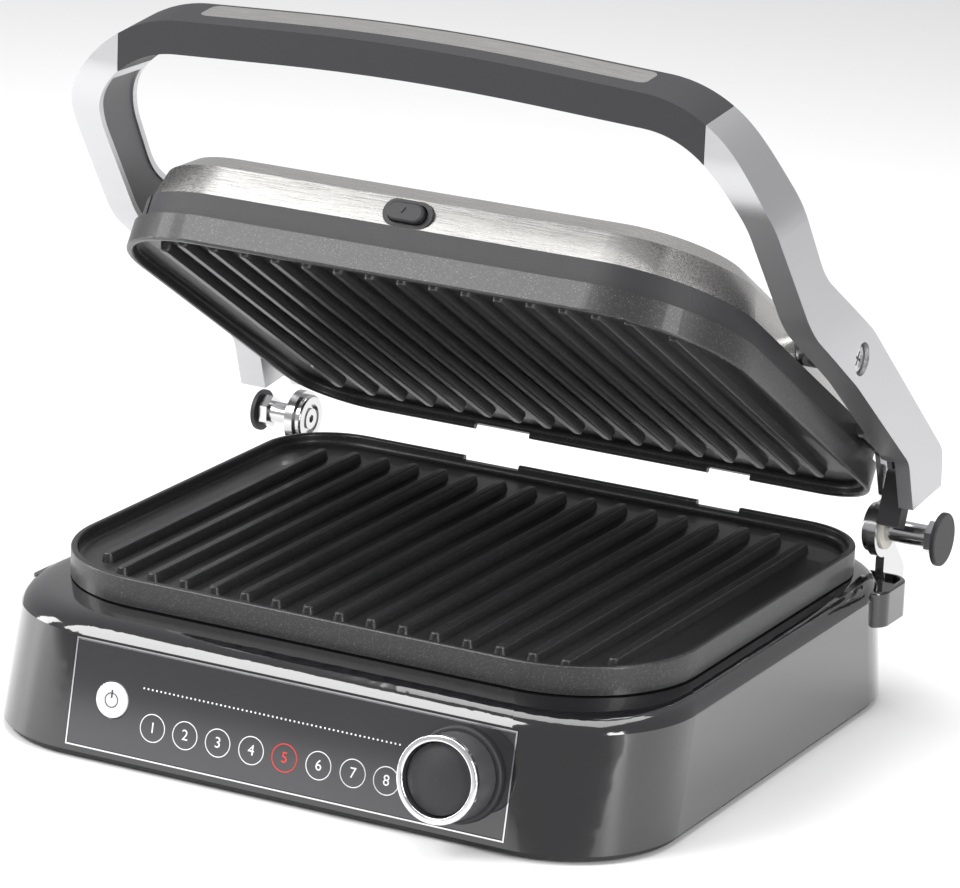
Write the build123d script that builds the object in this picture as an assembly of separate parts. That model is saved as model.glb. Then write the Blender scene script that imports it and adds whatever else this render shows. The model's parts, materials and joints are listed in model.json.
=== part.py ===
from build123d import *
import os
from math import atan2, cos, degrees, radians, sin, tan

os.makedirs("parts", exist_ok=True)

# An electric contact grill: a low base with a ribbed plate and a control panel, and a second
# ribbed plate in a lid that hangs between the two arms of a bail handle.
# Millimetres, +Z up, +Y to the rear, origin on the table under the middle of the base.
# The lid is drawn closed in its own frame, then laid into the half-open pose of OPEN_ANGLE.

# ---------------------------------------------------------------- sizes
# grill plates
PLATE_HALF_X = 145.0
PLATE_HALF_Y = 120.0
PLATE_FRONT_R = 55.0
PLATE_REAR_R = 34.0
PLATE_H = 12.0
RIM_T = 3.0
FLOOR_T = 4.0
FLOOR_UNDER = 2.5          # hollow under the cooking floor
RIB_COUNT = 17
RIB_PITCH = 15.0
RIB_W = 6.0
RIB_H = 4.0
RIB_TAPER = 14.0
RIB_MARGIN = 14.0          # from the plate's edge to the ends of the middle ribs
RIB_SET_BACK = 13.0        # how much further back the outermost ribs end
RIM_NOTCH = 2.4            # depth of the notches in the rear rim
RIM_NOTCHES = ((-46.0, 28.0), (67.5, 21.0))  # middle and width of each notch

# base
BASE_HALF_X = 156.4
BASE_FRONT_Y = -150.4
BASE_REAR_Y = 143.0
BASE_R = 51.0
BASE_BOTTOM_Z = 3.5
WALL_TOP_Z = 51.6
WALL_TOP_IN_X = 0.5        # how much the wall leans in at the sides, the front and the rear
WALL_TOP_IN_FRONT = 9.2
WALL_TOP_IN_REAR = 4.0
WALL_TOP_R = 55.0
WALL_T = 2.5
DECK_T = 2.5
PLATE_GAP = 0.3            # plate above the deck, and plate above plate when closed
PLATE_Z = 60.0             # underside of the lower plate's rim
LIP_IN = 4.0               # deck lip inside the plate's edge
LIP_W = 9.0
WELL_WALL = 2.0
WELL_BOTTOM_Z = 43.0
LEDGE_W = 5.0
LEDGE_T = 1.6
BOTTOM_T = 2.3
BOTTOM_IN = 2.0
SPIGOT_H = 1.6
FOOT_R = 10.0
FOOT_X = 112.0
FOOT_Y = 108.0
FOOT_SINK = 1.8
VENT_COUNT = 12

# running and assembly clearances
CLEAR = 0.3
RUN = 0.06                 # radial clearance of a shaft in its bore
SLIP = 0.2                 # a part let into a pocket

# hinge and handle, seen from the side: Y and Z measured from the hinge axis
HINGE_BEHIND = -1.0        # hinge axis behind the plates' rear edge
HINGE_UP = 3.0             # hinge axis above the closed seam
HUB_R = 13.6
HUB_RING_R = 14.4
HUB_IN_X = 149.0
HUB_OUT_X = 176.0
PLAIN_HUB_OUT_X = 168.5    # left-hand hub, which has no raised rim or cap
HUB_RING_W = 8.0
HUB_CAP_R = 11.8
HUB_CAP_T = 2.3
BOLT_R = 5.0
BOLT_HEAD_R = 11.0
BOLT_HEAD_X = 140.6
NUT_R = 7.5
NUT_T = 4.6
PLAIN_CAP_R = 9.5
BRACKET_IN_X = 144.0
BRACKET_T = 4.0
BRACKET_TOP_R = 12.6
BRACKET_FOOT = (-31.0, -14.0)  # front and rear of the strip inside the base, from the hinge axis
BRACKET_NECK_DROP = 25.5   # from the hinge axis to the top of the strip inside the base
BRACKET_TAIL_DROP = 39.0   # from the hinge axis to the underside of the exposed tail
ARM_OUT_X = 167.5
ARM_IN_X = 154.7
ARM_WALL = 2.6
ARM_COVER_T = 2.4
ARM_COVER_SINK = 0.9
HANDLE_RISE = 226.8        # front top edge of the grip, at its middle, above the hinge axis
HANDLE_LEAN_FROM = 105.0   # the arms lean towards each other from this height above the axis
HANDLE_LEAN = 3.0
CROWN_SLOPE = 2.8          # the grip falls away from its middle to both sides
CROWN_R = 1200.0
GRIP_TOP_SLOPE = 6.5       # the grip's top rises to the rear
GRIP_T = 14.4
GRIP_HALF_X = 136.3
GRIP_OUT_R = 60.0
GRIP_IN_R = 45.0
GRIP_CAP_T = 3.0
INLAY_L = 208.0
INLAY_W = 14.8
INLAY_R = 4.0
INLAY_FROM_REAR = 1.4
INLAY_T = 1.2
# edges of the arm as (Y, Z, corner radius), from the hub up to the grip
ARM_REAR = ((12.5, 0.0, 0.0), (11.0, 37.0, 12.0), (-74.0, 110.0, 70.0), (-124.0, 143.0, 40.0),
            (-157.5, 196.0, 40.0), (-157.5, 250.0, 0.0))
ARM_FRONT = ((-183.5, 250.0, 0.0), (-183.5, 188.0, 40.0), (-135.5, 121.0, 60.0),
             (-88.0, 88.5, 60.0), (-26.5, 40.0, 14.0), (-13.0, 0.0, 0.0))

# lid, closed, Z measured from the closed seam
OPEN_ANGLE = 37.7          # arms above closed in the modelled pose
LID_LAG = 6.03             # how much less the lid has turned than the arms
PIVOT_Y = -8.9
PIVOT_UP = 29.9
PIVOT_R = 4.0
PIVOT_HEAD_R = 6.2
PIVOT_BUSH_R = 6.0
PIVOT_BOSS_R = 7.0
FRAME_IN = 2.5
FRAME_H = 10.2
SHELF_T = 1.7
SHELF_W = 17.0
COVER_IN = 4.0
COVER_SIDE_H = 14.0
COVER_SIDE_IN = 3.5
COVER_TOP_H = 7.0
COVER_TOP_IN = 8.5
COVER_T = 1.2
LID_BUTTON_L = 17.0
LID_BUTTON_H = 8.4
LID_BUTTON_OUT = 4.5
LID_BEZEL_L = 23.0
LID_BEZEL_H = 11.8
LID_BEZEL_DEPTH = 9.0
LID_BUTTON_UP = 6.6        # above the bottom edge of the steel cover
TAB_T = 2.4

# heaters
HEATER_R = 3.3
HEATER_IN = 34.0           # from the plate's edge to the element
HEATER_END = 11.0          # how far its ends reach past the loop
PAN_T = 0.8
PAN_WALL_H = 10.0
SENSOR_R = 6.0

# control panel, on the leaning front wall; across and up are measured from its middle
PANEL_W = 205.0
PANEL_H = 44.0
PANEL_T = 2.9
PANEL_PROUD = 0.2
PANEL_MID_Z = 28.3
BEZEL_W = 0.9
TRAY_T = 2.0
TRAY_IN = 6.0
BOARD_BACK = 15.0
BOARD_T = 1.6
POST_R = 3.0
POWER_BOARD_AT = (48.0, 70.0)
KNOB_AT = (80.1, 0.6)
KNOB_R = 17.8
KNOB_BASE_R = 20.0
KNOB_BASE_H = 3.0
KNOB_H = 15.0
KNOB_RING_R = 18.2
KNOB_RING_H = 2.6
KNOB_CAP_R = 15.0
KNOB_CAP_TRAVEL = 1.2
SHAFT_R = 3.0
POWER_AT = (-83.2, -0.5)
POWER_R = 7.6
POWER_TRAVEL = 0.8

# hinge release lever
LEVER_X = (150.0, 160.4)
LEVER_T = 8.0
LEVER_L = 22.0
LEVER_LEAN = 21.8
LEVER_SWING_ROOM = 24.0
LEVER_PIN_R = 1.6
LEVER_PIN = (-5.4, 26.4)   # from the hinge axis

# side button that frees the lower plate
SIDE_BUTTON_Y = (-97.0, -73.0)
SIDE_BUTTON_X = (-153.6, -146.6)
SIDE_BUTTON_Z = (52.6, 57.0)

# cord gland in the rear wall
GLAND_X = 60.0
GLAND_Z = 24.0
GLAND_R = 8.0
GLAND_BORE_R = 3.75
GLAND_L = 12.0
GLAND_OUT = 6.0
GLAND_FLANGE_R = 10.0
GLAND_SEAT = 1.1           # its flange is let into the leaning wall

# screws
SCREW_R = 1.5
SCREW_HEAD_R = 3.0
SCREW_HEAD_H = 1.6

# ---------------------------------------------------------------- places worked out from them
SEAM_Z = PLATE_Z + PLATE_H + PLATE_GAP
HINGE_Y = PLATE_HALF_Y + HINGE_BEHIND
HINGE_Z = PLATE_Z + PLATE_H + HINGE_UP
LIP_Z = PLATE_Z - PLATE_GAP
FLOOR_Z = FLOOR_UNDER + FLOOR_T
PLATE_BACK = PLATE_H - FLOOR_UNDER
FRAME_Z = PLATE_H + CLEAR
COVER_Z = FRAME_Z + FRAME_H
LID_TOP = COVER_Z + COVER_SIDE_H + COVER_TOP_H
ARM_OPEN = Pos(0, HINGE_Y, HINGE_Z) * Rot(X=-OPEN_ANGLE) * Pos(0, -HINGE_Y, -HINGE_Z)
PIVOT = (ARM_OPEN * Pos(0, PIVOT_Y, SEAM_Z + PIVOT_UP)).position
LID_POSE = Pos(0, PIVOT.Y, PIVOT.Z) * Rot(X=LID_LAG - OPEN_ANGLE) * Pos(0, -PIVOT_Y, -PIVOT_UP)


def side_points(edge):
    """Points of an arm edge, measured from the hinge axis, as points of the YZ plane."""
    return [(HINGE_Y + y, HINGE_Z + z) for y, z, _ in edge]


def outline(half_x, front_y, rear_y, front_r, rear_r, z=0.0):
    """Flat rounded outline, the same left and right, at height z."""
    corners = [(-half_x, front_y), (half_x, front_y), (half_x, rear_y), (-half_x, rear_y)]
    rim = FilletPolyline(*corners, radius=[front_r, front_r, rear_r, rear_r], close=True)
    return Pos(0, 0, z) * make_face(rim)


def plate_outline(inset=0.0, z=0.0):
    """The plates' outline, drawn in by inset."""
    return outline(PLATE_HALF_X - inset, inset - PLATE_HALF_Y, PLATE_HALF_Y - inset,
                   PLATE_FRONT_R - inset, PLATE_REAR_R - min(inset, PLATE_REAR_R - 6.0), z)


def slab(face, height):
    """The face thickened upwards."""
    return extrude(face, amount=height, dir=(0, 0, 1))


def both(solid):
    """A right-hand piece and its mirror image, as one group of separate solids."""
    return Compound([*solid.solids(), *mirror(solid, Plane.YZ).solids()])


def x_rod(radius, x0, x1, y, z):
    """A round bar along X."""
    return Pos((x0 + x1) / 2, y, z) * Rot(Y=90) * Cylinder(radius, x1 - x0)


def box_between(low, high):
    """The box between two corners."""
    size = [b - a for a, b in zip(low, high)]
    middle = [(a + b) / 2 for a, b in zip(low, high)]
    return Pos(*middle) * Box(*size)


def pan_screw(head_r=SCREW_HEAD_R, head_h=SCREW_HEAD_H, shank_r=SCREW_R, length=8.0):
    """A cross-head screw with the underside of its head at z = 0 and its shank below."""
    head = Cylinder(head_r, head_h, align=(Align.CENTER, Align.CENTER, Align.MIN))
    head = fillet(head.edges().group_by(Axis.Z)[-1], head_h * 0.4)
    slot = Box(head_r * 1.1, head_r * 0.25, head_h) + Box(head_r * 0.25, head_r * 1.1, head_h)
    head -= Pos(0, 0, head_h) * slot
    return head + Cylinder(shank_r, length, align=(Align.CENTER, Align.CENTER, Align.MAX))


def group(pieces):
    """Separate solids under one node."""
    solids = []
    for piece in pieces:
        solids.extend(piece.solids())
    return Compound(solids)


PARTS = {}


def keep(name, solid):
    """Note a finished piece under its node's name."""
    PARTS[name] = solid
    return solid


# ---------------------------------------------------------------- grill plates
def grill_plate():
    """A cast plate: shallow tray with parallel ribs, its rim's lower edge at z = 0."""
    plate = slab(plate_outline(), PLATE_H)
    tray = slab(plate_outline(RIM_T, FLOOR_Z), PLATE_H - FLOOR_Z)
    tray = fillet(tray.edges().group_by(Axis.Z)[0], 2.5)
    plate -= tray
    plate -= slab(plate_outline(RIM_T + 1.0), FLOOR_UNDER)
    plate = fillet(plate.edges().group_by(Axis.Z)[-1], 1.1)
    for middle, width in RIM_NOTCHES:
        cut = Box(width, 4 * RIM_T, 2 * RIM_NOTCH)
        plate -= Pos(middle, PLATE_HALF_Y, PLATE_H) * cut
    half = (RIB_COUNT - 1) / 2
    for i in range(RIB_COUNT):
        step = abs(i - half)
        back = RIB_SET_BACK if step == half else 0.0
        front_y = -PLATE_HALF_Y + RIB_MARGIN + back
        rear_y = PLATE_HALF_Y - RIB_MARGIN - 6.0 - back / 3
        rib = Rot(Z=90) * SlotOverall(rear_y - front_y, RIB_W)
        rib = extrude(rib, amount=RIB_H, taper=RIB_TAPER)
        rib = fillet(rib.edges().group_by(Axis.Z)[-1], 1.0)
        plate += Pos((i - half) * RIB_PITCH, (front_y + rear_y) / 2, FLOOR_Z) * rib
    return plate


# ---------------------------------------------------------------- base
def wall_section(share, inset=0.0):
    """Outline of the base wall, from its foot (share 0) to its top edge (share 1)."""
    z = BASE_BOTTOM_Z + share * (WALL_TOP_Z - BASE_BOTTOM_Z)
    return outline(BASE_HALF_X - share * WALL_TOP_IN_X - inset,
                   BASE_FRONT_Y + share * WALL_TOP_IN_FRONT + inset,
                   BASE_REAR_Y - share * WALL_TOP_IN_REAR - inset,
                   BASE_R + share * (WALL_TOP_R - BASE_R) - inset,
                   BASE_R + share * (WALL_TOP_R - BASE_R) - inset, z)


def deck_section(share, inset=0.0, drop=0.0):
    """Outline of the domed deck, from the wall's top edge (share 0) to the lip (share 1)."""
    run = 1.0 - cos(share * radians(90))
    rise = sin(share * radians(90))
    wall_x = BASE_HALF_X - WALL_TOP_IN_X - inset
    wall_front = BASE_FRONT_Y + WALL_TOP_IN_FRONT + inset
    wall_rear = BASE_REAR_Y - WALL_TOP_IN_REAR - inset
    lip_x = PLATE_HALF_X - LIP_IN - inset
    lip_y = PLATE_HALF_Y - LIP_IN - inset
    wall_r = WALL_TOP_R - inset

    def mix(a, b):
        return a + run * (b - a)

    return outline(mix(wall_x, lip_x), mix(wall_front, -lip_y), mix(wall_rear, lip_y),
                   mix(wall_r, PLATE_FRONT_R - LIP_IN - inset),
                   mix(wall_r, PLATE_REAR_R - LIP_IN - inset),
                   WALL_TOP_Z + rise * (LIP_Z - WALL_TOP_Z) - drop)


def base_wall_block(inset=0.0):
    """The space inside the base wall's outer face, drawn in by inset."""
    return loft([wall_section(0.0, inset), wall_section(1.0, inset)], ruled=True)


def deck_block(inset=0.0, drop=0.0):
    """The space under the deck's outer face."""
    shares = (0.0, 0.35, 0.7, 1.0)
    return loft([deck_section(share, inset, drop) for share in shares], ruled=False)


LEAN = degrees(atan2(WALL_TOP_IN_FRONT, WALL_TOP_Z - BASE_BOTTOM_Z))
PANEL_Y = BASE_FRONT_Y + WALL_TOP_IN_FRONT * (PANEL_MID_Z - BASE_BOTTOM_Z) / (WALL_TOP_Z - BASE_BOTTOM_Z)
PANEL = Plane(origin=(0.5, PANEL_Y, PANEL_MID_Z), x_dir=(1, 0, 0),
              z_dir=(0, -cos(radians(LEAN)), sin(radians(LEAN))))


def on_panel(x, y, z, solid):
    """Place a solid drawn upright at (x, y) on the panel, z outwards from the wall's face."""
    return PANEL.location * Pos(x, y, z) * solid


def up(radius, height):
    """A round bar standing on z = 0."""
    return Cylinder(radius, height, align=(Align.CENTER, Align.CENTER, Align.MIN))


def up_box(width, depth, height):
    """A block standing on z = 0."""
    return Box(width, depth, height, align=(Align.CENTER, Align.CENTER, Align.MIN))


def bracket_slot(front_y, low_z, high_z):
    """Room for one hinge bracket, on both sides."""
    low = (BRACKET_IN_X - CLEAR, front_y, low_z)
    high = (BRACKET_IN_X + BRACKET_T + CLEAR, BASE_REAR_Y, high_z)
    return both(box_between(low, high))


BRACKET_FRONT_Y = HINGE_Y - 0.5


def base_parts():
    """Wall, deck, bottom cover, feet and the corner housings of the hinges."""
    shell = base_wall_block() - base_wall_block(WALL_T)
    pocket_w = PANEL_W + 2 * BEZEL_W
    pocket_h = PANEL_H + 2 * BEZEL_W
    shell -= on_panel(0, 0, -WALL_T * 2, up_box(pocket_w, pocket_h, WALL_T * 3))
    rear_y = BASE_REAR_Y - WALL_TOP_IN_REAR / 2
    seat_y = rear_y - GLAND_SEAT
    shell -= Pos(GLAND_X, rear_y, GLAND_Z) * Rot(X=90) * Cylinder(GLAND_R + SLIP, 6 * WALL_T)
    shell -= Pos(GLAND_X, seat_y, GLAND_Z) * Rot(X=-90) * up(GLAND_FLANGE_R + SLIP, GLAND_L)
    tail_z = HINGE_Z - BRACKET_TAIL_DROP - CLEAR
    foot_y = HINGE_Y + BRACKET_FOOT[0] - CLEAR
    shell -= bracket_slot(foot_y, tail_z, WALL_TOP_Z + 1)
    keep("base_shell", shell)

    dome = deck_block()
    deck = dome - deck_block(DECK_T, DECK_T)
    deck -= slab(deck_section(0.0, DECK_T), DECK_T)
    opening = plate_outline(LIP_IN + LIP_W)
    deck -= Pos(0, 0, WELL_BOTTOM_Z) * slab(opening, PLATE_Z - WELL_BOTTOM_Z)
    well = slab(plate_outline(LIP_IN + LIP_W - WELL_WALL), LIP_Z - DECK_T / 2 - WELL_BOTTOM_Z)
    well -= slab(opening, PLATE_Z)
    ledge = slab(plate_outline(LIP_IN + LIP_W - WELL_WALL), LEDGE_T)
    ledge -= slab(plate_outline(LIP_IN + LIP_W + LEDGE_W), LEDGE_T)
    deck += Pos(0, 0, WELL_BOTTOM_Z) * (well + ledge)
    deck -= bracket_slot(BRACKET_FRONT_Y - CLEAR, WALL_TOP_Z - 8, PLATE_Z + 4)
    button_room = box_between((SIDE_BUTTON_X[0] - 4, SIDE_BUTTON_Y[0] - CLEAR, SIDE_BUTTON_Z[0] - CLEAR),
                              (SIDE_BUTTON_X[1] + 4, SIDE_BUTTON_Y[1] + CLEAR, SIDE_BUTTON_Z[1] + CLEAR))
    deck -= button_room
    keep("base_deck", deck)

    low = outline(BASE_HALF_X - BOTTOM_IN, BASE_FRONT_Y + BOTTOM_IN, BASE_REAR_Y - BOTTOM_IN,
                  BASE_R - BOTTOM_IN, BASE_R - BOTTOM_IN, BASE_BOTTOM_Z - BOTTOM_T)
    bottom = slab(low, BOTTOM_T)
    spigot = wall_section(0.0, WALL_T + CLEAR + 0.4)
    bottom += slab(spigot, SPIGOT_H) - slab(wall_section(0.0, WALL_T + 3.0), SPIGOT_H)
    for i in range(VENT_COUNT):
        vent = Pos((i - (VENT_COUNT - 1) / 2) * 12.0, 20.0, 0) * Box(4.0, 60.0, 20.0)
        bottom -= vent
    feet = []
    bores = []
    for sx in (-1, 1):
        for sy in (-1, 1):
            place = Pos(sx * FOOT_X, sy * FOOT_Y, 0)
            foot = up(FOOT_R, BASE_BOTTOM_Z - BOTTOM_T + FOOT_SINK)
            feet.append(place * fillet(foot.edges().group_by(Axis.Z)[0], 1.0))
            bottom -= place * up(FOOT_R, BASE_BOTTOM_Z - BOTTOM_T + FOOT_SINK)
            bores.append(Pos(sx * FOOT_X, sy * (FOOT_Y - 32.0), 0))
    screws = []
    for place in bores:
        seat = BASE_BOTTOM_Z - BOTTOM_T + SCREW_HEAD_H
        screws.append(place * Pos(0, 0, seat) * Rot(X=180) * pan_screw(length=6.0))
        bottom -= place * up(SCREW_HEAD_R + SLIP, seat)
        bottom -= place * up(SCREW_R + SLIP, BASE_BOTTOM_Z + 2)
    keep("bottom_cover", bottom)
    keep("rubber_feet", group(feet))
    keep("bottom_screws", group(screws))

    low = (BRACKET_IN_X - 8.0, HINGE_Y - 28.0, PLATE_Z - 21.5)
    high = (BASE_HALF_X + 3.6, HINGE_Y + 3.0, PLATE_Z - 5.6)
    ear = box_between(low, high)
    ear = fillet(ear.edges().filter_by(Axis.Z).group_by(Axis.X)[-1], 8.0)
    recess = box_between((low[0] - 1, low[1] + 2.2, high[2] - 2.0), (high[0] - 2.2, high[1] - 2.2, high[2] + 1))
    recess = fillet(recess.edges().filter_by(Axis.Z).group_by(Axis.X)[-1], 6.0)
    ear = fillet(ear.edges().group_by(Axis.Z)[-1].sort_by(Axis.X)[1:], 1.2)
    ear -= recess
    ear -= base_wall_block() + dome
    ear -= bracket_slot(BRACKET_FRONT_Y - CLEAR, low[2] + 2.0, high[2] + 1)
    ear -= bracket_slot(foot_y, tail_z, HINGE_Z - BRACKET_NECK_DROP + CLEAR)
    ear = ear.solids().sort_by(SortBy.VOLUME)[-1]
    keep("hinge_housing_right", ear)
    keep("hinge_housing_left", mirror(ear, Plane.YZ))

    gland = up(GLAND_R, GLAND_L) + Pos(0, 0, GLAND_L - GLAND_OUT) * up(GLAND_FLANGE_R, 1.6)
    gland -= up(GLAND_BORE_R, GLAND_L)
    gland = fillet(gland.edges().group_by(Axis.Z)[-1].sort_by(SortBy.LENGTH)[-1], 1.5)
    keep("cord_gland", Pos(GLAND_X, seat_y - GLAND_L + GLAND_OUT, GLAND_Z) * Rot(X=-90) * gland)


def heater_parts():
    """Lower element, the pan under it, its holders and the plate sensor."""
    pan_in = LIP_IN + LIP_W + 1.0
    floor_z = WELL_BOTTOM_Z + LEDGE_T
    pan = slab(plate_outline(pan_in, floor_z), PAN_WALL_H)
    pan -= slab(plate_outline(pan_in + PAN_T, floor_z + PAN_T), PAN_WALL_H)
    keep("lower_reflector", pan - Pos(0, 0, floor_z) * Cylinder(SENSOR_R + SLIP, 6 * PAN_T))
    tube_z = PLATE_Z - 2.6
    keep("lower_heater", Pos(0, 0, tube_z) * heater_tube())
    clips = []
    for x, y in heater_holds():
        height = tube_z - HEATER_R - floor_z - PAN_T
        clips.append(Pos(x, y, floor_z + PAN_T) * up_box(10.0, 10.0, height))
    keep("lower_heater_holders", group(clips))
    sensor = up(SENSOR_R, PLATE_Z + FLOOR_UNDER - CLEAR - floor_z + 4.0)
    sensor += up(SENSOR_R + 3.0, 4.0 - SLIP)
    keep("plate_sensor", Pos(0, 0, floor_z - 4.0) * sensor)


def heater_path_sizes():
    """Half length, half width and corner radius of the heating element's loop."""
    return PLATE_HALF_X - HEATER_IN, PLATE_HALF_Y - HEATER_IN, 30.0


def heater_tube():
    """A tubular element bent into one open loop, its two ends pointing to the rear."""
    half_x, half_y, bend = heater_path_sizes()
    gap = 22.0
    path = FilletPolyline((-gap, half_y + HEATER_END), (-gap, half_y - 18.0), (-half_x, half_y - 18.0),
                          (-half_x, -half_y), (half_x, -half_y), (half_x, half_y - 18.0),
                          (gap, half_y - 18.0), (gap, half_y + HEATER_END),
                          radius=[14.0, bend, bend, bend, bend, 14.0])
    start = Plane(origin=path @ 0, z_dir=path % 0)
    return sweep(start * Circle(HEATER_R), path=path)


def heater_holds():
    """Where the element is held: the middle of each side of the loop."""
    half_x, half_y, _ = heater_path_sizes()
    return ((-half_x, 0.0), (half_x, 0.0), (-half_x / 2, -half_y), (half_x / 2, -half_y))


def panel_parts():
    """Glass panel, its bright edge, the tray and board behind it, knob and power button."""
    back = PANEL_PROUD - PANEL_T
    glass = up_box(PANEL_W, PANEL_H, PANEL_T)
    glass -= Pos(*KNOB_AT, 0) * up(SHAFT_R + 5.0, PANEL_T)
    glass -= Pos(*POWER_AT, 0) * up(POWER_R + CLEAR, PANEL_T)
    glass = fillet(glass.edges().group_by(Axis.Z)[-1].sort_by(SortBy.LENGTH)[-4:], 0.3)
    keep("control_panel", on_panel(0, 0, back, glass))
    ring = up_box(PANEL_W + 2 * BEZEL_W - 0.2, PANEL_H + 2 * BEZEL_W - 0.2, PANEL_T + 0.15)
    ring -= up_box(PANEL_W + 0.3, PANEL_H + 0.3, PANEL_T + 1)
    keep("panel_bezel", on_panel(0, 0, back, ring))

    tray = up_box(PANEL_W - TRAY_IN, PANEL_H - TRAY_IN, TRAY_T)
    tray = Pos(0, 0, -TRAY_T) * tray
    tray -= Pos(*KNOB_AT, -TRAY_T) * up(SHAFT_R + 5.0, TRAY_T)
    tray -= Pos(*POWER_AT, -TRAY_T) * up(POWER_R + CLEAR, TRAY_T)
    post_l = BOARD_BACK + back - TRAY_T
    posts = [(sx * (PANEL_W / 2 - 9.0), sy * (PANEL_H / 2 - 8.0)) for sx in (-1, 1) for sy in (-1, 1)]
    for x, y in posts:
        tray += Pos(x, y, -TRAY_T - post_l) * up(POST_R, post_l)
    keep("panel_tray", on_panel(0, 0, back, tray))

    board = up_box(PANEL_W - 10.0, PANEL_H - 8.0, BOARD_T)
    keep("control_board", on_panel(0, 0, -BOARD_BACK - BOARD_T, board))
    shaft_top = KNOB_BASE_H + 5.0
    encoder = up_box(13.0, 13.0, 8.0)
    encoder += up(SHAFT_R, BOARD_BACK + shaft_top)
    keep("knob_encoder", on_panel(*KNOB_AT, -BOARD_BACK, encoder))
    switch_top = BOARD_BACK + back - TRAY_T - POWER_TRAVEL - CLEAR
    switch = up_box(10.0, 10.0, switch_top - 3.0) + up(2.5, switch_top)
    keep("power_switch", on_panel(*POWER_AT, -BOARD_BACK, switch))

    base_ring = up(KNOB_BASE_R, KNOB_BASE_H) - up(SHAFT_R + 5.0, KNOB_BASE_H)
    base_ring = fillet(base_ring.edges().group_by(Axis.Z)[-1].sort_by(SortBy.LENGTH)[-1], 1.2)
    keep("knob_base", on_panel(*KNOB_AT, PANEL_PROUD, base_ring))
    knob_z = PANEL_PROUD + KNOB_BASE_H + CLEAR
    cup_floor = shaft_top - knob_z + 2.0
    body = up(KNOB_R, KNOB_H) - Pos(0, 0, cup_floor) * up(KNOB_CAP_R + CLEAR, KNOB_H)
    body -= up(SHAFT_R + RUN, shaft_top - knob_z + CLEAR)
    keep("knob_body", on_panel(*KNOB_AT, knob_z, body))
    rim = up(KNOB_RING_R, KNOB_RING_H) - up(KNOB_CAP_R + CLEAR, KNOB_RING_H)
    rim = fillet(rim.edges().group_by(Axis.Z)[-1], 0.9)
    keep("knob_ring", on_panel(*KNOB_AT, knob_z + KNOB_H, rim))
    cap_z = cup_floor + KNOB_CAP_TRAVEL + CLEAR
    cap_h = KNOB_H + KNOB_RING_H - cap_z - 0.4
    cap = up(KNOB_CAP_R, cap_h)
    dome_r = KNOB_CAP_R * 2.6
    sag = dome_r - (dome_r ** 2 - KNOB_CAP_R ** 2) ** 0.5
    cap = cap & Pos(0, 0, cap_h - dome_r) * Sphere(dome_r)
    rings = cap.edges().filter_by(lambda edge: edge.is_closed)
    cap = fillet(rings.group_by(Axis.Z)[-1], min(0.8, sag * 0.4))
    keep("knob_push_cap", on_panel(*KNOB_AT, knob_z + cap_z, cap))

    button = up(POWER_R, PANEL_T + TRAY_T + 0.9)
    button = fillet(button.edges().group_by(Axis.Z)[-1], 0.6)
    keep("power_button", on_panel(*POWER_AT, back - TRAY_T, button))

    supply = up_box(86.0, 54.0, BOARD_T)
    supply += Pos(-24, 6, BOARD_T) * up_box(22.0, 26.0, 18.0)
    supply += Pos(14, 8, BOARD_T) * up_box(19.0, 15.0, 15.0)
    supply += Pos(14, -14, BOARD_T) * up(5.0, 16.0)
    for sx in (-1, 1):
        for sy in (-1, 1):
            supply += Pos(sx * 38.0, sy * 22.0, -4.0) * up(POST_R, 4.0)
    keep("power_board", Pos(*POWER_BOARD_AT, BASE_BOTTOM_Z + 4.0) * supply)


def plate_catch_parts():
    """The lower plate, the button that frees it and the spring catches at its edge."""
    keep("lower_plate", Pos(0, 0, PLATE_Z) * grill_plate())
    button = box_between((SIDE_BUTTON_X[0], SIDE_BUTTON_Y[0], SIDE_BUTTON_Z[0]),
                         (SIDE_BUTTON_X[1], SIDE_BUTTON_Y[1], SIDE_BUTTON_Z[1]))
    button = fillet(button.edges().group_by(Axis.X)[0], 1.2)
    keep("lower_plate_button", button)
    catches = []
    for x in (-60.0, 60.0):
        for sy in (-1, 1):
            y = sy * (PLATE_HALF_Y - LIP_IN - LIP_W / 2)
            catches.append(Pos(x, y, LIP_Z) * up_box(16.0, 5.0, FLOOR_UNDER - CLEAR))
    keep("lower_plate_catches", group(catches))


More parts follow.
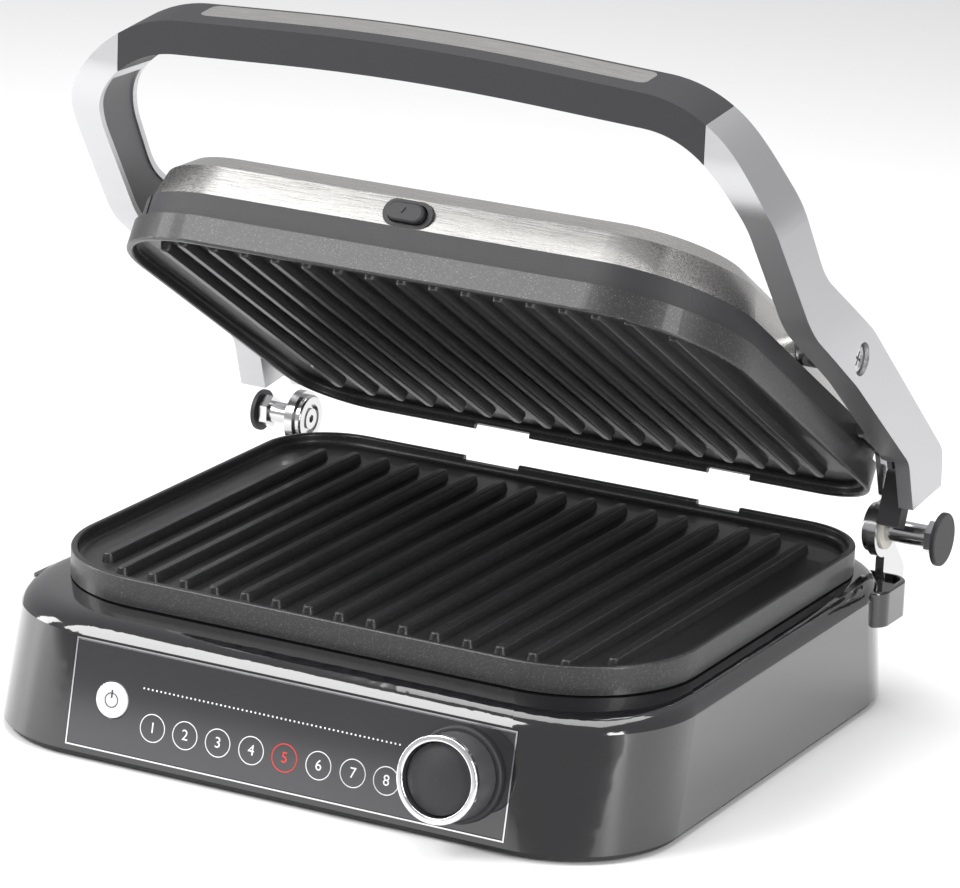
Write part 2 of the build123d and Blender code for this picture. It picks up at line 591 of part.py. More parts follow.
# ---------------------------------------------------------------- hinge and handle
def hinge_parts():
    """Steel brackets bolted in the base, hinge bolts, nuts, washers and hub caps."""
    h_y, h_z = HINGE_Y, HINGE_Z
    foot_z = BASE_BOTTOM_Z + 7.0
    front_y = h_y + BRACKET_FOOT[0]
    rear_y = h_y + BRACKET_FOOT[1]
    neck_z = h_z - BRACKET_NECK_DROP
    edge = FilletPolyline((BRACKET_FRONT_Y, h_z), (BRACKET_FRONT_Y, neck_z), (front_y, neck_z),
                          (front_y, foot_z), (rear_y, foot_z), (rear_y, h_z - BRACKET_TAIL_DROP),
                          (h_y + 18.0, h_z - BRACKET_TAIL_DROP + 2.0), (h_y + 24.0, h_z - 24.0),
                          (h_y + 11.0, h_z - 9.0), (h_y + 4.0, h_z),
                          radius=[0, 0, 3, 3, 3, 1.0, 5.0, 6.0, 8.0, 0], close=True)
    start = Plane.YZ.offset(BRACKET_IN_X)
    plate = extrude(start * make_face(edge), amount=BRACKET_T)
    plate += x_rod(BRACKET_TOP_R, BRACKET_IN_X, BRACKET_IN_X + BRACKET_T, h_y, h_z)
    plate -= x_rod(BOLT_R + RUN, BRACKET_IN_X - 1, BRACKET_IN_X + BRACKET_T + 1, h_y, h_z)
    keep("hinge_bracket_right", plate)
    keep("hinge_bracket_left", mirror(plate, Plane.YZ))

    washer = x_rod(9.0, BRACKET_IN_X + BRACKET_T, HUB_IN_X, h_y, h_z)
    washer -= x_rod(BOLT_R + RUN, HUB_IN_X - 5, HUB_IN_X + 1, h_y, h_z)
    keep("hinge_washers", both(washer))
    right = hinge_bolt(True)
    left = [mirror(piece, Plane.YZ) for piece in hinge_bolt(False)]
    for name, pair in zip(("hinge_bolts", "hinge_nuts", "hub_caps"), zip(right, left)):
        keep(name, group(pair))


def hub(capped):
    """Hub of the handle, with grooves inside. The capped one has a raised rim outside."""
    h_y, h_z = HINGE_Y, HINGE_Z
    out_x = HUB_OUT_X if capped else PLAIN_HUB_OUT_X
    body = x_rod(HUB_R, HUB_IN_X, out_x, h_y, h_z)
    body = chamfer(body.edges().group_by(Axis.X)[0], 1.2)
    if capped:
        ring = x_rod(HUB_RING_R, HUB_OUT_X - HUB_RING_W, HUB_OUT_X, h_y, h_z)
        ring = fillet(ring.edges().group_by(Axis.X)[-1], 1.6)
        body += fillet(ring.edges().group_by(Axis.X)[0], 0.6)
    for x in (HUB_IN_X + 2.6, HUB_IN_X + 5.2):
        groove = x_rod(HUB_R + 1, x, x + 0.6, h_y, h_z) - x_rod(HUB_R - 0.5, x, x + 0.6, h_y, h_z)
        body -= groove
    return body


def hub_cuts(capped):
    """Bore, nut pocket and cap seat of a hub."""
    h_y, h_z = HINGE_Y, HINGE_Z
    out_x = HUB_OUT_X if capped else PLAIN_HUB_OUT_X
    cap_r = HUB_CAP_R if capped else PLAIN_CAP_R
    cut = x_rod(BOLT_R + RUN, HUB_IN_X - 1, out_x, h_y, h_z)
    cut += x_rod(NUT_R + 1.0, nut_x(capped) - NUT_T / 2 - CLEAR, out_x, h_y, h_z)
    cut += x_rod(cap_r + SLIP, out_x - HUB_CAP_T - 0.5, out_x + 1, h_y, h_z)
    return cut


def nut_x(capped):
    """Middle of the nut on a hinge bolt."""
    out_x = HUB_OUT_X if capped else PLAIN_HUB_OUT_X
    return out_x - HUB_CAP_T - 0.5 - CLEAR - NUT_T / 2


def hinge_bolt(capped):
    """Bolt, nut and cap of one hinge, as on the right."""
    h_y, h_z = HINGE_Y, HINGE_Z
    head = x_rod(BOLT_HEAD_R, BOLT_HEAD_X, BRACKET_IN_X, h_y, h_z)
    head = fillet(head.edges().group_by(Axis.X)[0], 1.0)
    groove = x_rod(BOLT_HEAD_R * 0.62, BOLT_HEAD_X, BOLT_HEAD_X + 1.4, h_y, h_z)
    groove -= x_rod(BOLT_HEAD_R * 0.44, BOLT_HEAD_X, BOLT_HEAD_X + 1.4, h_y, h_z)
    hexagon = Plane(origin=(BOLT_HEAD_X, h_y, h_z), z_dir=(1, 0, 0)) * RegularPolygon(2.0, 6)
    x = nut_x(capped)
    bolt = head + x_rod(BOLT_R, BRACKET_IN_X, x + NUT_T / 2, h_y, h_z)
    bolt -= groove + extrude(hexagon, amount=2.2)
    nut_face = Plane(origin=(x - NUT_T / 2, h_y, h_z), z_dir=(1, 0, 0)) * RegularPolygon(NUT_R, 6)
    nut = extrude(nut_face, amount=NUT_T) - x_rod(BOLT_R, x - NUT_T, x + NUT_T, h_y, h_z)
    out_x = (HUB_OUT_X if capped else PLAIN_HUB_OUT_X) - 0.5
    cap = x_rod(HUB_CAP_R if capped else PLAIN_CAP_R, out_x - HUB_CAP_T, out_x, h_y, h_z)
    cap = fillet(cap.edges().group_by(Axis.X)[-1], 0.8)
    return bolt, nut, cap


def side_profile(inset=0.0):
    """The handle seen from the side, drawn in by inset, across its whole width."""
    points = side_points(ARM_REAR + ARM_FRONT)
    radii = [corner[2] for corner in ARM_REAR + ARM_FRONT]
    face = Plane.YZ * make_face(FilletPolyline(*points, radius=radii, close=True))
    if inset:
        face = offset(face, amount=-inset)
    return extrude(face, amount=ARM_OUT_X + 5, both=True)


def arch_block(half_x, top_z, corner_r, slope=0.0):
    """The space under one edge of the handle, seen from the front: leaning sides, crowned top."""
    low_z = HINGE_Z - 2.0
    bend_z = HINGE_Z + HANDLE_LEAN_FROM
    rise = top_z + CROWN_R * (1 / cos(radians(CROWN_SLOPE)) - 1)
    corner_z = rise - half_x * tan(radians(CROWN_SLOPE))
    lean_x = half_x - (corner_z - bend_z) * tan(radians(HANDLE_LEAN))
    right = [(half_x, low_z), (half_x, bend_z), (lean_x, corner_z)]
    left = [(-x, z) for x, z in right]
    radii = [0, 300.0, corner_r, CROWN_R, corner_r, 300.0, 0]
    front = Plane(origin=(0, HINGE_Y + ARM_FRONT[0][0], 0), x_dir=(1, 0, 0), z_dir=(0, -1, 0))
    rim = FilletPolyline(*left, (0, rise), *reversed(right), radius=radii, close=True)
    face = front * make_face(rim)
    way = (0, -cos(radians(slope)), -sin(radians(slope)))
    return extrude(face, amount=420, dir=way, both=True)


def outer_arch(inset=0.0):
    """The space inside the handle's outer edge."""
    return arch_block(ARM_OUT_X - inset, HINGE_Z + HANDLE_RISE - inset, GRIP_OUT_R - inset, GRIP_TOP_SLOPE)


def inner_arch(grow=0.0):
    """The space inside the handle's inner edge."""
    return arch_block(ARM_IN_X + grow, HINGE_Z + HANDLE_RISE - GRIP_T + grow, GRIP_IN_R + grow)


def arch(outer_in=0.0, inner_out=0.0):
    """The handle seen from the front: a wide arch. Both its edges can be drawn into the bar."""
    return outer_arch(outer_in) - inner_arch(inner_out)


def right_of(x):
    """Everything to the right of x."""
    return box_between((x, -400, -10), (400, 400, 500))


def lever_space(grow, ahead=0.0):
    """The release lever with its eye, grown all round and drawn out ahead of itself."""
    x0, x1 = LEVER_X[0] - grow, LEVER_X[1] + grow
    half = LEVER_T / 2 + grow
    low_z = -LEVER_L - grow - ahead / 2
    bar = box_between((x0, -half - ahead, low_z), (x1, half, 0))
    bar += x_rod(half, x0, x1, 0, 0)
    if ahead:
        bar += box_between((x0, -half - ahead, -half), (x1, 0, half))
    return Pos(0, HINGE_Y + LEVER_PIN[0], HINGE_Z + LEVER_PIN[1]) * Rot(X=-LEVER_LEAN) * bar


def handle_parts():
    """Two cast arms with inner covers, the grip between them and the hinge release lever."""
    bar = side_profile() & arch()
    hollow = side_profile(ARM_WALL) & arch(ARM_WALL, -1.0)
    blank = bar & right_of(GRIP_HALF_X)
    shaft = hollow & right_of(GRIP_HALF_X + 4.0) & box_between((0, -400, HINGE_Z + 34.0), (400, 400, 500))
    pivot_y, pivot_z = PIVOT.Y, PIVOT.Z
    blank -= shaft
    blank += (x_rod(PIVOT_BUSH_R + 3.0, ARM_IN_X, ARM_OUT_X, pivot_y, pivot_z) & bar)
    blank -= x_rod(PIVOT_BUSH_R, ARM_IN_X - 1, ARM_OUT_X - 4.6, pivot_y, pivot_z)
    blank -= x_rod(PIVOT_HEAD_R + 1.0, ARM_OUT_X - 4.6, ARM_OUT_X + 1, pivot_y, pivot_z)
    pin_y = HINGE_Y + LEVER_PIN[0]
    pin_z = HINGE_Z + LEVER_PIN[1]
    casting = blank + hub(True) - hub_cuts(True)
    casting -= lever_space(CLEAR, LEVER_SWING_ROOM)
    casting -= x_rod(LEVER_PIN_R, LEVER_X[1], LEVER_X[1] + 4.0, pin_y, pin_z)
    casting = casting.solids().sort_by(SortBy.VOLUME)[-1]
    plain = (blank + hub(False) - hub_cuts(False)).solids().sort_by(SortBy.VOLUME)[-1]

    cover = side_profile(ARM_WALL + SLIP) & arch(0.0, ARM_COVER_SINK)
    cover -= arch(0.0, ARM_COVER_SINK + ARM_COVER_T)
    cover = cover & box_between((GRIP_HALF_X + 4.0, -400, HINGE_Z + 34.0 + SLIP), (400, 400, 500))
    cover -= x_rod(PIVOT_BUSH_R + 3.0 + SLIP, ARM_IN_X - 1, ARM_OUT_X, pivot_y, pivot_z)
    cover = cover.solids().sort_by(SortBy.VOLUME)[-1]
    keep("arm_right", casting)
    keep("arm_left", mirror(plain, Plane.YZ))
    keep("arm_cover_right", cover)
    keep("arm_cover_left", mirror(cover, Plane.YZ))

    middle = box_between((-GRIP_HALF_X + SLIP, -400, 0), (GRIP_HALF_X - SLIP, 400, 500))
    grip = bar & middle
    seam = inner_arch(GRIP_T - GRIP_CAP_T)
    inlay_y = HINGE_Y + ARM_REAR[-1][0] - INLAY_FROM_REAR - INLAY_W / 2
    layer = grip - outer_arch(INLAY_T)
    seat = layer & Pos(0, inlay_y, 0) * extrude(RectangleRounded(INLAY_L, INLAY_W, INLAY_R), amount=400)
    plate = RectangleRounded(INLAY_L - 2 * SLIP, INLAY_W - 2 * SLIP, INLAY_R - SLIP)
    keep("grip_top", grip - seam - seat)
    keep("grip_lower", grip & seam)
    keep("grip_inlay", layer & Pos(0, inlay_y, 0) * extrude(plate, amount=400))

    bush = x_rod(PIVOT_BUSH_R, ARM_IN_X, ARM_OUT_X - 4.6, pivot_y, pivot_z)
    bush -= x_rod(PIVOT_R + RUN, ARM_IN_X - 1, ARM_OUT_X, pivot_y, pivot_z)
    keep("pivot_bushes", both(bush))

    lever = lever_space(0.0)
    lever -= x_rod(LEVER_PIN_R + RUN, LEVER_X[0] - 1, LEVER_X[1] + 1, pin_y, pin_z)
    keep("hinge_release_lever", lever)
    keep("lever_pin", x_rod(LEVER_PIN_R, LEVER_X[0] - 1.2, LEVER_X[1] + 4.0, pin_y, pin_z))


# ---------------------------------------------------------------- lid
def lid_outline(inset, z):
    """The lid's outline, inside the plate's by inset, at height z above the closed seam."""
    return plate_outline(inset, z)


def lid_parts():
    """Steel cover, black frame, upper plate, element, reflector, catches, button and brackets."""
    upper = Pos(0, 0, PLATE_H) * mirror(grill_plate(), Plane.XY)
    keep("upper_plate", LID_POSE * upper)

    frame = slab(lid_outline(FRAME_IN, FRAME_Z), FRAME_H)
    frame -= slab(lid_outline(FRAME_IN + 2.2, FRAME_Z + SHELF_T), FRAME_H)
    frame -= slab(lid_outline(FRAME_IN + SHELF_W, FRAME_Z), FRAME_H)
    corner = PLATE_FRONT_R * (1 - cos(radians(45)))
    notch_at = Pos(corner - PLATE_HALF_X + FRAME_IN, corner - PLATE_HALF_Y + FRAME_IN, FRAME_Z)
    frame -= notch_at * Rot(Z=45) * Box(3.0, 2.4, 6 * FRAME_H)
    keep("lid_frame", LID_POSE * frame)

    def shell_block(shrink):
        foot = lid_outline(COVER_IN + shrink, COVER_Z)
        side = lid_outline(COVER_IN + COVER_SIDE_IN + shrink, COVER_Z + COVER_SIDE_H - shrink / 2)
        top = lid_outline(COVER_IN + COVER_SIDE_IN + COVER_TOP_IN + shrink, LID_TOP - shrink)
        return loft([foot, side], ruled=True) + loft([side, top], ruled=True)

    cover = shell_block(0.0) - shell_block(COVER_T)
    front_y = -PLATE_HALF_Y + COVER_IN + COVER_SIDE_IN / 2
    mouth_z = COVER_Z + LID_BUTTON_UP
    face = Plane(origin=(0, front_y, mouth_z), x_dir=(1, 0, 0), z_dir=(0, -1, 0))
    cover -= extrude(face * SlotOverall(LID_BEZEL_L + 2 * SLIP, LID_BEZEL_H + 2 * SLIP), amount=8, both=True)
    cover -= both(x_rod(PIVOT_BOSS_R + CLEAR, PLATE_HALF_X - 16, PLATE_HALF_X, PIVOT_Y, PIVOT_UP))
    keep("lid_cover", LID_POSE * cover)

    bezel = extrude(face * SlotOverall(LID_BEZEL_L, LID_BEZEL_H), amount=-LID_BEZEL_DEPTH)
    bezel += extrude(face * SlotOverall(LID_BEZEL_L, LID_BEZEL_H), amount=1.6)
    hole_l = LID_BUTTON_L + 2 * CLEAR + 1.0
    hole_h = LID_BUTTON_H + 2 * CLEAR
    bezel -= extrude(face * SlotOverall(hole_l, hole_h), amount=30, both=True)
    keep("lid_button_bezel", LID_POSE * bezel)
    pill = extrude(face.offset(-LID_BEZEL_DEPTH) * SlotOverall(LID_BUTTON_L, LID_BUTTON_H),
                   amount=LID_BEZEL_DEPTH + LID_BUTTON_OUT)
    pill = fillet(pill.edges().group_by(Axis.Y)[0], 1.0)
    mark = face.offset(LID_BUTTON_OUT) * RegularPolygon(1.9, 3, rotation=90)
    pill -= extrude(mark, amount=-0.4)
    keep("lid_button", LID_POSE * pill)

    pan_z = FRAME_Z + SHELF_T
    pan_in = FRAME_IN + SHELF_W - 4.0
    pan = slab(plate_outline(pan_in + 4.0 + CLEAR, pan_z), PAN_WALL_H)
    pan -= slab(plate_outline(pan_in + 4.0 + CLEAR + PAN_T, pan_z), PAN_WALL_H - PAN_T)
    pan += slab(plate_outline(pan_in, pan_z), PAN_T) - slab(plate_outline(pan_in + 4.0 + CLEAR, pan_z), PAN_T)
    keep("upper_reflector", LID_POSE * pan)
    tube_z = PLATE_BACK + HEATER_R + 1.7
    keep("upper_heater", LID_POSE * Pos(0, 0, tube_z) * heater_tube())
    clips = []
    ceiling = pan_z + PAN_WALL_H - PAN_T
    for x, y in heater_holds():
        clips.append(Pos(x, y, tube_z + HEATER_R) * up_box(10.0, 10.0, ceiling - tube_z - HEATER_R))
    keep("upper_heater_holders", LID_POSE * group(clips))
    keep("lid_thermostat", LID_POSE * Pos(0, 30.0, ceiling + PAN_T) * (up(9.0, 5.0) + up_box(28.0, 8.0, 1.2)))
    catches = []
    for x in (-60.0, 60.0):
        for sy in (-1, 1):
            y = sy * (PLATE_HALF_Y - FRAME_IN - SHELF_W / 2)
            low_z = PLATE_BACK + CLEAR
            catches.append(Pos(x, y, low_z) * up_box(16.0, 5.0, FRAME_Z - low_z))
    keep("upper_plate_catches", LID_POSE * group(catches))

    bracket_x = PLATE_HALF_X - COVER_IN - COVER_SIDE_IN - 2.0
    bracket = box_between((bracket_x - 2.5, PIVOT_Y - 26, pan_z), (bracket_x, PIVOT_Y + 26, PIVOT_UP + 5))
    bracket += box_between((bracket_x - 5.0, PIVOT_Y - 26, pan_z), (bracket_x, PIVOT_Y + 26, pan_z + 2.0))
    bracket += x_rod(PIVOT_BOSS_R, bracket_x - 2.5, ARM_IN_X - 1.0, PIVOT_Y, PIVOT_UP)
    bracket -= x_rod(PIVOT_R, bracket_x - 3.5, ARM_IN_X, PIVOT_Y, PIVOT_UP)
    keep("lid_pivot_brackets", LID_POSE * both(bracket))
    head_x = ARM_OUT_X - 4.6 + RUN
    bolt = x_rod(PIVOT_R, bracket_x - 2.5, head_x, PIVOT_Y, PIVOT_UP)
    head = x_rod(PIVOT_HEAD_R, head_x, head_x + 2.4, PIVOT_Y, PIVOT_UP)
    head = fillet(head.edges().group_by(Axis.X)[-1], 0.7)
    socket = Box(3.0, 1.2, 6.4) + Box(3.0, 6.4, 1.2)
    head -= Pos(head_x + 2.4, PIVOT_Y, PIVOT_UP) * socket
    keep("lid_pivot_bolts", LID_POSE * both(bolt + head))

    tab_x = PLATE_HALF_X + 1.0
    rear = PLATE_HALF_Y - PLATE_REAR_R
    edge = FilletPolyline((rear - 26, FRAME_Z + 2.0), (rear - 2, FRAME_Z + 2.0), (rear + 14.5, 0.6),
                          (rear + 18.0, 0.6), (rear + 18.6, 4.0), (rear + 6, FRAME_Z + 9.0),
                          (rear - 26, FRAME_Z + 9.0), radius=[1.5, 6, 1, 1.5, 2, 8, 1.5], close=True)
    tab = extrude(Plane.YZ.offset(tab_x) * make_face(edge), amount=TAB_T)
    side_x = PLATE_HALF_X - FRAME_IN
    tab += box_between((side_x, rear - 24, FRAME_Z + 3.0), (tab_x + TAB_T, rear - 4, FRAME_Z + 8.0))
    keep("lid_stop_tabs", LID_POSE * both(tab))


# ---------------------------------------------------------------- build and write
base_parts()
heater_parts()
panel_parts()
plate_catch_parts()
hinge_parts()
handle_parts()
lid_parts()

# the origin moves under the middle of the overall box
boxes = [solid.bounding_box() for solid in PARTS.values()]
middle_x = (min(box.min.X for box in boxes) + max(box.max.X for box in boxes)) / 2
middle_y = (min(box.min.Y for box in boxes) + max(box.max.Y for box in boxes)) / 2
for name, solid in PARTS.items():
    export_step(Pos(-middle_x, -middle_y, 0) * solid, f"parts/{name}.step")
print(len(PARTS), "nodes; hinge axis", round(HINGE_Y, 2), round(HINGE_Z, 2),
      "pivot", round(PIVOT.Y, 3), round(PIVOT.Z, 3), "middle", round(middle_x, 4), round(middle_y, 4))
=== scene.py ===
# %% [markdown]
# # A half-open electric contact grill
# The hard pieces come from the CAD model. This script gives every piece its finish, draws the
# marks on the control panel, and sets the camera, the lights and the floor.

# %% Start
import json
from math import cos, radians, sin
import bpy
from mathutils import Matrix, Vector


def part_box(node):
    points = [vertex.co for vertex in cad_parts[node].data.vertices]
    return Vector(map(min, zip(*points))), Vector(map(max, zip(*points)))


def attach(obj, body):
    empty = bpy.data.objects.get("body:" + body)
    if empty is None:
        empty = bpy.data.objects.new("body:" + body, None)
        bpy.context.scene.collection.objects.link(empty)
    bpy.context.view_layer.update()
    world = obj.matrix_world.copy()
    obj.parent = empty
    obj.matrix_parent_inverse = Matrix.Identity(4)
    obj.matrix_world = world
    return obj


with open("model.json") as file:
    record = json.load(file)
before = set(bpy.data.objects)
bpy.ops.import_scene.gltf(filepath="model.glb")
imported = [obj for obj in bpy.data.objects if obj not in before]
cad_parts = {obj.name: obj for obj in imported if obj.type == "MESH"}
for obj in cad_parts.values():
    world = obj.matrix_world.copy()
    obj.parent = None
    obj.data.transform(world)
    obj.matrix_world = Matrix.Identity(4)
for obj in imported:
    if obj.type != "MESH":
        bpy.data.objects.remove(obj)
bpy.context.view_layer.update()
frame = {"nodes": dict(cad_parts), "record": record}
nodes = frame["nodes"]
bpy.ops.object.select_all(action="DESELECT")

# %% [markdown]
# ## Shader maths
# A finish is easier to read as a formula than as a list of links. The small class below lets
# sockets be added and multiplied. `link` sets a socket either to a number or to another socket.

# %% Shader wrapper
class Value:
    def __init__(self, tree, socket):
        self.tree = tree
        self.socket = socket

    def node(self, kind, inputs=(), output=0, **settings):
        made = self.tree.nodes.new(kind)
        for key, value in settings.items():
            setattr(made, key, value)
        for key, value in dict(inputs).items():
            link(self.tree, value, made.inputs[key])
        return Value(self.tree, made.outputs[output])

    def maths(self, operation, a, b):
        return self.node("ShaderNodeMath", {0: a, 1: b}, operation=operation)

    def __add__(self, other):
        return self.maths("ADD", self, other)

    def __sub__(self, other):
        return self.maths("SUBTRACT", self, other)

    def __rsub__(self, other):
        return self.maths("SUBTRACT", other, self)

    def __mul__(self, other):
        return self.maths("MULTIPLY", self, other)

    __radd__ = __add__
    __rmul__ = __mul__

    def above(self, limit):
        return self.maths("GREATER_THAN", self, limit)


def link(tree, value, socket):
    if isinstance(value, Value):
        tree.links.new(value.socket, socket)
    else:
        socket.default_value = value


def noise(place, scale, detail=3.0, stretch=(1.0, 1.0, 1.0)):
    mapped = place.node("ShaderNodeMapping", {"Vector": place, "Scale": stretch})
    return place.node("ShaderNodeTexNoise", {"Vector": mapped, "Scale": scale, "Detail": detail}, "Fac")


def mix(place, factor, a, b):
    made = place.tree.nodes.new("ShaderNodeMix")
    made.data_type = "RGBA"
    link(place.tree, factor, made.inputs[0])
    link(place.tree, (*a, 1.0), made.inputs[6])
    link(place.tree, (*b, 1.0), made.inputs[7])
    return Value(place.tree, made.outputs[2])


def bump(place, height, strength, distance):
    return place.node("ShaderNodeBump", {"Height": height, "Strength": strength,
                                         "Distance": distance}, "Normal")


def finish(name, colour, metallic=0.0, roughness=0.4, coat=0.0, recipe=None):
    material = bpy.data.materials.new(name)
    material.use_nodes = True
    tree = material.node_tree
    shader = tree.nodes["Principled BSDF"]
    shader.inputs["Base Color"].default_value = (*colour, 1.0)
    shader.inputs["Metallic"].default_value = metallic
    shader.inputs["Roughness"].default_value = roughness
    shader.inputs["Coat Weight"].default_value = coat
    shader.inputs["Coat Roughness"].default_value = 0.04
    if recipe:
        place = Value(tree, tree.nodes.new("ShaderNodeTexCoord").outputs["Object"])
        for key, value in recipe(place).items():
            link(tree, value, shader.inputs[key])
    return material


# %% [markdown]
# ## Finishes
# - Gloss plastic: a smooth moulded face, slightly uneven as all mouldings are.
# - Plates: cast aluminium under a sprayed non-stick coating, which leaves a fine bright speckle.
# - Steel cover: brushed along its length, so its grain is drawn out along X.
# - Arms: satin cast metal. Their inner covers are moulded with a fine texture.

# %% Recipes
def moulded(low, high):
    def recipe(place):
        return {"Roughness": noise(place, 40.0) * (high - low) + low}
    return recipe


def speckled(place):
    grains = noise(place, 2600.0, 2.0).above(0.66)
    return {"Base Color": mix(place, grains, (0.017, 0.017, 0.018), (0.16, 0.16, 0.165)),
            "Roughness": 0.42 - grains * 0.14,
            "Normal": bump(place, noise(place, 1800.0), 0.25, 0.0002)}


def brushed(place):
    grain = noise(place, 60.0, 6.0, (1.0, 30.0, 30.0))
    return {"Base Color": mix(place, grain, (0.50, 0.49, 0.475), (0.68, 0.67, 0.65)),
            "Roughness": grain * 0.16 + 0.2,
            "Normal": bump(place, grain, 0.12, 0.0002)}


def cast(place):
    grain = noise(place, 1200.0)
    return {"Roughness": grain * 0.12 + 0.28, "Normal": bump(place, grain, 0.12, 0.0002)}


def textured(place):
    grain = noise(place, 1500.0)
    return {"Roughness": grain * 0.15 + 0.45, "Normal": bump(place, grain, 0.4, 0.0003)}


def heated(place):
    return {"Base Color": mix(place, noise(place, 50.0), (0.16, 0.13, 0.11), (0.36, 0.32, 0.28))}


FINISHES = {
    "gloss_black": finish("gloss_black", (0.008, 0.008, 0.009), 0, 0.1, 1.0, moulded(0.07, 0.13)),
    "satin_black": finish("satin_black", (0.018, 0.018, 0.02), 0, 0.4, 0.0, textured),
    "plate_coating": finish("plate_coating", (0.02, 0.02, 0.02), 0.0, 0.4, 0.15, speckled),
    "steel_brushed": finish("steel_brushed", (0.6, 0.59, 0.57), 1.0, 0.28, 0.0, brushed),
    "cast_arms": finish("cast_arms", (0.52, 0.52, 0.53), 0.9, 0.34, 0.0, cast),
    "arm_lining": finish("arm_lining", (0.12, 0.12, 0.125), 0.2, 0.5, 0.0, textured),
    "bright_steel": finish("bright_steel", (0.62, 0.62, 0.62), 1.0, 0.18, 0.0, moulded(0.14, 0.24)),
    "knob_metal": finish("knob_metal", (0.78, 0.78, 0.79), 1.0, 0.1, 0.0, moulded(0.07, 0.14)),
    "knob_grey": finish("knob_grey", (0.2, 0.2, 0.21), 0.8, 0.35, 0.0, cast),
    "panel_glass": finish("panel_glass", (0.022, 0.022, 0.025), 0, 0.08, 1.0, moulded(0.05, 0.1)),
    "button_white": finish("button_white", (0.75, 0.75, 0.77), 0.2, 0.25, 0.5, moulded(0.2, 0.3)),
    "inner_plastic": finish("inner_plastic", (0.5, 0.48, 0.43), 0, 0.55, 0.0, moulded(0.5, 0.6)),
    "circuit_board": finish("circuit_board", (0.02, 0.12, 0.05), 0, 0.4, 0.2, moulded(0.35, 0.45)),
    "heater_tube": finish("heater_tube", (0.28, 0.25, 0.22), 0.9, 0.42, 0.0, heated),
    "reflector": finish("reflector", (0.75, 0.75, 0.75), 1.0, 0.2, 0.0, moulded(0.16, 0.26)),
    "rubber": finish("rubber", (0.02, 0.02, 0.02), 0, 0.7, 0.0, textured),
}

for part in frame["record"]["subparts"]:
    piece = nodes[part["node"]]
    piece.data.materials.clear()
    piece.data.materials.append(FINISHES[part["material_slot"]])

# %% [markdown]
# ## Marks on the panel
# On the real grill the marks are printed behind the smoked panel and lit from the back. Here they
# are thin raised rings, dots and numerals just on its face. The programme marks are plain numbers.
# `on_panel` gives a place on the leaning panel, in mm from its middle.

# %% Panel marks
PANEL_LEAN = radians(79.17)
PANEL_UP = Vector((0.0, 0.1879, 0.98219))
PANEL_OUT = Vector((0.0, -0.98219, 0.1879))
PANEL_MIDDLE = Vector((-3.25, -133.843, 28.3))

ink_white = finish("ink_white", (0.8, 0.8, 0.82), 0, 0.4)
ink_red = finish("ink_red", (0.8, 0.04, 0.03), 0, 0.4)
ink_dark = finish("ink_dark", (0.05, 0.05, 0.055), 0, 0.4)


def on_panel(x, up, out=0.25):
    return (PANEL_MIDDLE + Vector((x, 0, 0)) + PANEL_UP * up + PANEL_OUT * out) / 1000


def settle(name, material, body):
    made = bpy.context.active_object
    bpy.ops.object.transform_apply(location=True, rotation=True, scale=True)
    made.name = name
    made.data.name = name
    made.data.materials.clear()
    made.data.materials.append(material)
    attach(made, body)
    bpy.ops.object.select_all(action="DESELECT")
    return made


def ring(name, x, up, radius, thick, material, body="base", out=0.25):
    bpy.ops.mesh.primitive_torus_add(location=on_panel(x, up, out), rotation=(PANEL_LEAN, 0, 0),
                                     major_radius=radius / 1000, minor_radius=thick / 1000,
                                     major_segments=48, minor_segments=6)
    return settle(name, material, body)


def words(name, text, x, up, size, material):
    bpy.ops.object.text_add(location=on_panel(x, up, 0.22), rotation=(PANEL_LEAN, 0, 0))
    made = bpy.context.active_object
    made.data.body = text
    made.data.size = size / 1000
    made.data.align_x = "CENTER"
    made.data.align_y = "CENTER"
    made.data.extrude = 0.00005
    bpy.ops.object.convert(target="MESH")
    return settle(name, material, "base")


for index, x in enumerate((-62.7, -47.1, -31.4, -15.5, 0.2, 16.2, 32.2, 47.7)):
    ink = ink_red if index == 4 else ink_white
    ring(f"programme_ring_{index + 1}", x, -8.6, 5.8, 0.22, ink)
    words(f"programme_number_{index + 1}", str(index + 1), x, -8.6, 6.4, ink)

for index in range(60):
    x = -68.8 + index * (51.8 + 68.8) / 59
    bpy.ops.mesh.primitive_cylinder_add(vertices=12, radius=0.00042, depth=0.0001,
                                        location=on_panel(x, 7.2), rotation=(PANEL_LEAN, 0, 0))
    settle(f"scale_dot_{index + 1}", ink_white, "base")

# %% [markdown]
# ## Power mark
# A broken ring with a stroke is the usual sign for on and off. It moves with its button.

# %% Power mark
power_low, power_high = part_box("power_button")
BUTTON_OUT = 1.15
ring("power_mark_ring", -83.2, -0.5, 3.0, 0.22, ink_dark, "power_button", BUTTON_OUT)
bpy.ops.mesh.primitive_cube_add(size=1.0, location=on_panel(-83.2, 2.1, BUTTON_OUT),
                                rotation=(PANEL_LEAN, 0, 0), scale=(0.0006, 0.0034, 0.0003))
settle("power_mark_stroke", ink_dark, "power_button")

# %% [markdown]
# ## Camera
# The camera stands where the photograph was taken: to the right of the grill, a little above it,
# far away with a long lens.

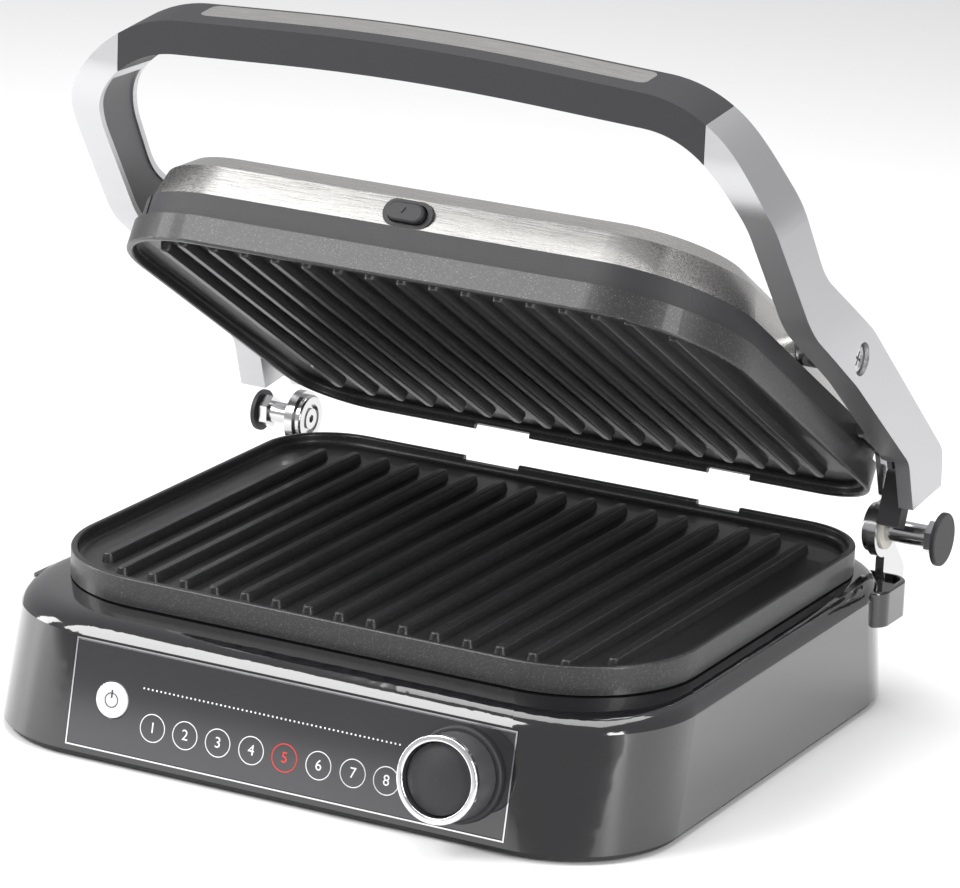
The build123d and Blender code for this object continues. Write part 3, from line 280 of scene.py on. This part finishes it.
# %% Camera
yaw, pitch, roll = radians(27.27), radians(16.74), radians(2.34)
back = Vector((sin(yaw) * cos(pitch), -cos(yaw) * cos(pitch), sin(pitch)))
side = (-back).cross(Vector((0, 0, 1))).normalized()
rise = side.cross(-back)
right = side * cos(roll) + rise * sin(roll)
top = rise * cos(roll) - side * sin(roll)
eye = Vector((-0.00437, 0.029497, 0.11261)) + back * 2.24788
lens = bpy.data.cameras.new("camera")
lens.lens = 196.16
lens.sensor_width = 36.0
lens.sensor_fit = "HORIZONTAL"
lens.clip_end = 50.0
camera = bpy.data.objects.new("camera", lens)
bpy.context.scene.collection.objects.link(camera)
camera.matrix_world = Matrix(((right.x, top.x, back.x, eye.x), (right.y, top.y, back.y, eye.y),
                              (right.z, top.z, back.z, eye.z), (0, 0, 0, 1)))
bpy.context.scene.camera = camera

# %% [markdown]
# ## Light, floor and background
# Broad soft lamps give long clean highlights on gloss plastic and steel. The background is white
# only for the camera, so it adds no light to the object.

# %% Light and floor
def lamp(name, place, aim, width, height, power):
    data = bpy.data.lights.new(name, "AREA")
    data.shape = "RECTANGLE"
    data.size = width
    data.size_y = height
    data.energy = power
    made = bpy.data.objects.new(name, data)
    made.location = place
    made.rotation_euler = (Vector(aim) - Vector(place)).to_track_quat("-Z", "Y").to_euler()
    bpy.context.scene.collection.objects.link(made)
    return made


lamp("key", (-0.9, -1.0, 1.3), (0, 0, 0.1), 0.9, 0.9, 22)
lamp("right_strip", (1.3, -0.6, 0.6), (0, 0, 0.1), 0.3, 1.1, 12)
lamp("left_strip", (-1.3, -0.3, 0.4), (0, 0, 0.1), 0.3, 1.1, 8)
lamp("overhead", (0, 0.2, 1.5), (0, 0, 0), 1.4, 1.0, 18)

world = bpy.data.worlds.new("world")
bpy.context.scene.world = world
world.use_nodes = True
tree = world.node_tree
sky = tree.nodes["Background"]
path = Value(tree, tree.nodes.new("ShaderNodeLightPath").outputs["Is Camera Ray"])
link(tree, mix(path, path, (0.5, 0.5, 0.51), (1.0, 1.0, 1.0)), sky.inputs["Color"])

bpy.ops.mesh.primitive_plane_add(size=12.0, location=(0, 0, 0))
floor = bpy.context.active_object
floor.name = "floor"
floor.data.materials.append(finish("floor", (0.9, 0.9, 0.9), 0, 0.6))

bpy.context.scene.view_settings.view_transform = "Standard"
